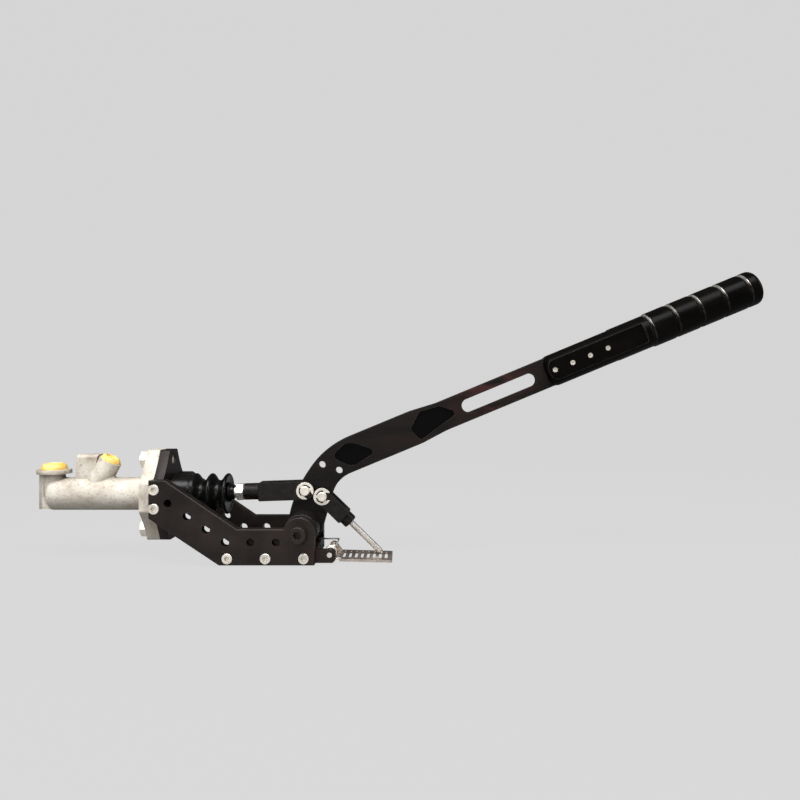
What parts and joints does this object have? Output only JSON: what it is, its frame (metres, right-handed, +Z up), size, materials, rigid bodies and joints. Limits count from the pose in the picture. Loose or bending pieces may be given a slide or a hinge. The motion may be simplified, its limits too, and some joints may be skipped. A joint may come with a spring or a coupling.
{
  "type": "hydraulic hand brake",
  "caption": "Hydraulic hand brake: a remote-reservoir master cylinder on a two-plate frame, with a long lever, a push rod and a slotted lock plate.",
  "frame": {"origin": "underside of the base, in the middle plane, under the middle side screw", "axes": "+X towards the grip, +Y to the far side from the pivot bolt's head, +Z up"},
  "size_m": [0.6036, 0.0861, 0.2376],
  "materials": {
    "cast_aluminium": "cast, lightly blasted",
    "black_anodised_plate": "black anodised, satin",
    "black_anodised_turned": "black anodised, turned",
    "black_anodised_lever": "black anodised, satin, faint brown sheen",
    "gloss_black_grip": "gloss black anodised",
    "bright_zinc_steel": "bright zinc",
    "plain_steel": "zinc plated, satin",
    "black_steel": "black oxide",
    "hard_anodised_piston": "machined",
    "bronze": "machined",
    "black_rubber": "moulded, satin",
    "yellow_plastic": "moulded"
  },
  "bodies": {
    "frame": {"base_plate": "black_anodised_plate", "side_plate_near": "black_anodised_plate", "side_plate_far": "black_anodised_plate", "front_bracket": "black_anodised_plate", "side_screws_near": "bright_zinc_steel", "side_screws_far": "bright_zinc_steel", "pivot_bolt": "black_steel", "pivot_washer": "black_steel", "pivot_nut": "black_steel", "pivot_spacer_near": "black_anodised_turned", "pivot_spacer_far": "black_anodised_turned", "pivot_sleeve": "plain_steel", "cylinder_body": "cast_aluminium", "outlet_cap": "yellow_plastic", "inlet_cap": "yellow_plastic", "flange_bolts": "bright_zinc_steel", "flange_washers": "bright_zinc_steel", "stop_washer": "plain_steel", "retaining_ring": "plain_steel", "boot": "black_rubber", "return_spring": "plain_steel", "catch_pin": "bright_zinc_steel", "catch_spring": "plain_steel"},
    "lever": {"lever": "black_anodised_lever", "pivot_bush": "bronze", "grip": "gloss_black_grip", "grip_screws": "bright_zinc_steel"},
    "push_link": {"push_rod": "black_steel", "push_nut": "bright_zinc_steel", "push_fork": "black_steel", "push_pin": "bright_zinc_steel", "push_clip": "bright_zinc_steel"},
    "piston": {"piston": "hard_anodised_piston", "rear_seal": "black_rubber", "primary_cup": "black_rubber", "spring_seat": "plain_steel"},
    "lock_link": {"lock_fork": "black_steel", "lock_rod": "plain_steel", "lock_pin": "bright_zinc_steel", "lock_clip": "bright_zinc_steel"},
    "catch": {"catch_plate": "plain_steel"}
  },
  "joints": [
    {"name": "lever_pivot", "type": "hinge", "parent": "frame", "child": "lever", "pos_m": [0.02635, 0, 0.0249], "axis": [0, -1, 0], "range_deg": [0, 20], "stiffness_Nm_per_rad": 2.7, "springref_deg": -25.21},
    {"name": "push_fork_pin", "type": "hinge", "parent": "lever", "child": "push_link", "pos_m": [0.0274, 0, 0.0548], "axis": [0, -1, 0], "range_deg": [-21.15, 0.5]},
    {"name": "piston_slide", "type": "slide", "parent": "frame", "child": "piston", "axis": [-1, 0, 0], "range_m": [0, 0.0106], "deforming": ["return_spring", "boot"]},
    {"name": "lock_fork_pin", "type": "hinge", "parent": "lever", "child": "lock_link", "pos_m": [0.0415, 0, 0.0501], "axis": [0, -1, 0], "range_deg": [-24.32, 0.5]},
    {"name": "catch_hinge", "type": "hinge", "parent": "frame", "child": "catch", "pos_m": [0.0495, 0, 0.0062], "axis": [0, 1, 0], "range_deg": [0, 12], "stiffness_Nm_per_rad": 0.5, "springref_deg": -17.19}
  ],
  "couplings": [
    {"joint": "push_fork_pin", "follows": "lever_pivot", "ratio": -1.0326},
    {"joint": "piston_slide", "follows": "lever_pivot", "m_per_rad": 0.029565},
    {"joint": "lock_fork_pin", "follows": "lever_pivot", "ratio": -1.191}
  ]
}
